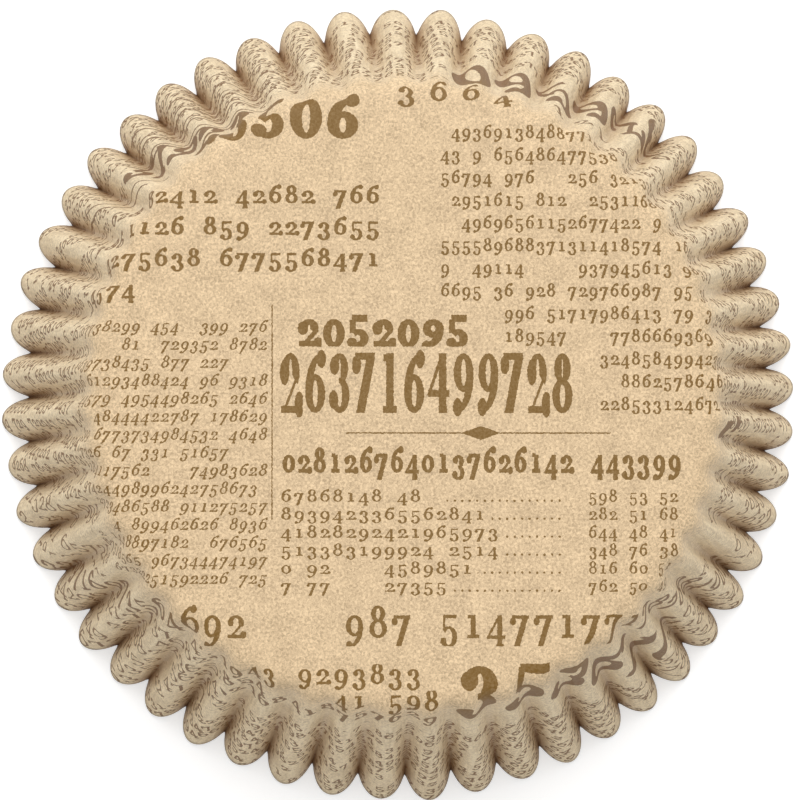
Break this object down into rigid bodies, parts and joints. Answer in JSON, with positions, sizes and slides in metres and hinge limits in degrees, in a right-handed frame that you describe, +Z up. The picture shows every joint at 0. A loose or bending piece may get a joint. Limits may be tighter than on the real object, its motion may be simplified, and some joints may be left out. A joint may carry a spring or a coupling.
{
  "type": "paper baking cup",
  "caption": "Round pleated paper baking cup with a flat base and flared wall, printed outside in newspaper style, resting on its rim.",
  "frame": {"origin": "centre of the rim, on the surface that the upside-down cup lies on", "axes": "+Z up through the middle of the flat base, -Z out of the cup's mouth, +Y to the back"},
  "size_m": [0.0691, 0.0691, 0.02],
  "materials": {
    "paper": "matt"
  },
  "bodies": {
    "root": {"pleated_cup": "paper"}
  },
  "joints": []
}
